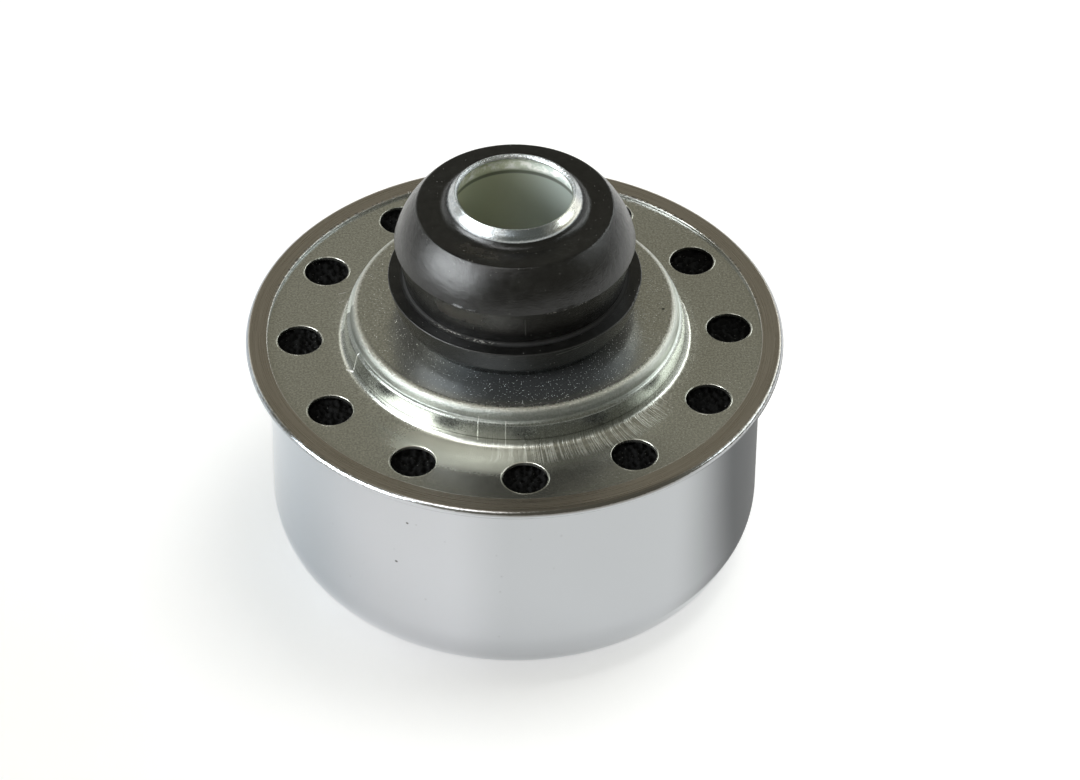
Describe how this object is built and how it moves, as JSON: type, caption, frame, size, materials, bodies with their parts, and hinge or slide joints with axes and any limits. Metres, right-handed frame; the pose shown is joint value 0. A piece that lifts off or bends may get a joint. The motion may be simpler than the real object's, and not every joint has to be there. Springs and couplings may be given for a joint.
{
  "type": "crankcase breather",
  "caption": "Push-in valve cover breather: chromed drawn cap hemmed over a zinc plated vented base plate, with a flanged neck tube and rubber grommet.",
  "frame": {"origin": "centre of the crown's flat outer face, which the part stands on", "axes": "+Z along the neck, away from the crown; +X to the right of the pictured view"},
  "size_m": [0.0762, 0.0762, 0.0623],
  "materials": {
    "chrome_plate": "polished",
    "zinc_plate": "satin",
    "zinc_tube": "satin",
    "black_rubber": "semi-matte",
    "black_foam": "matte"
  },
  "bodies": {
    "root": {"cap_shell": "chrome_plate", "base_plate": "zinc_plate", "neck_tube": "zinc_tube", "grommet": "black_rubber", "filter_element": "black_foam", "splash_cup": "zinc_plate"}
  },
  "joints": []
}
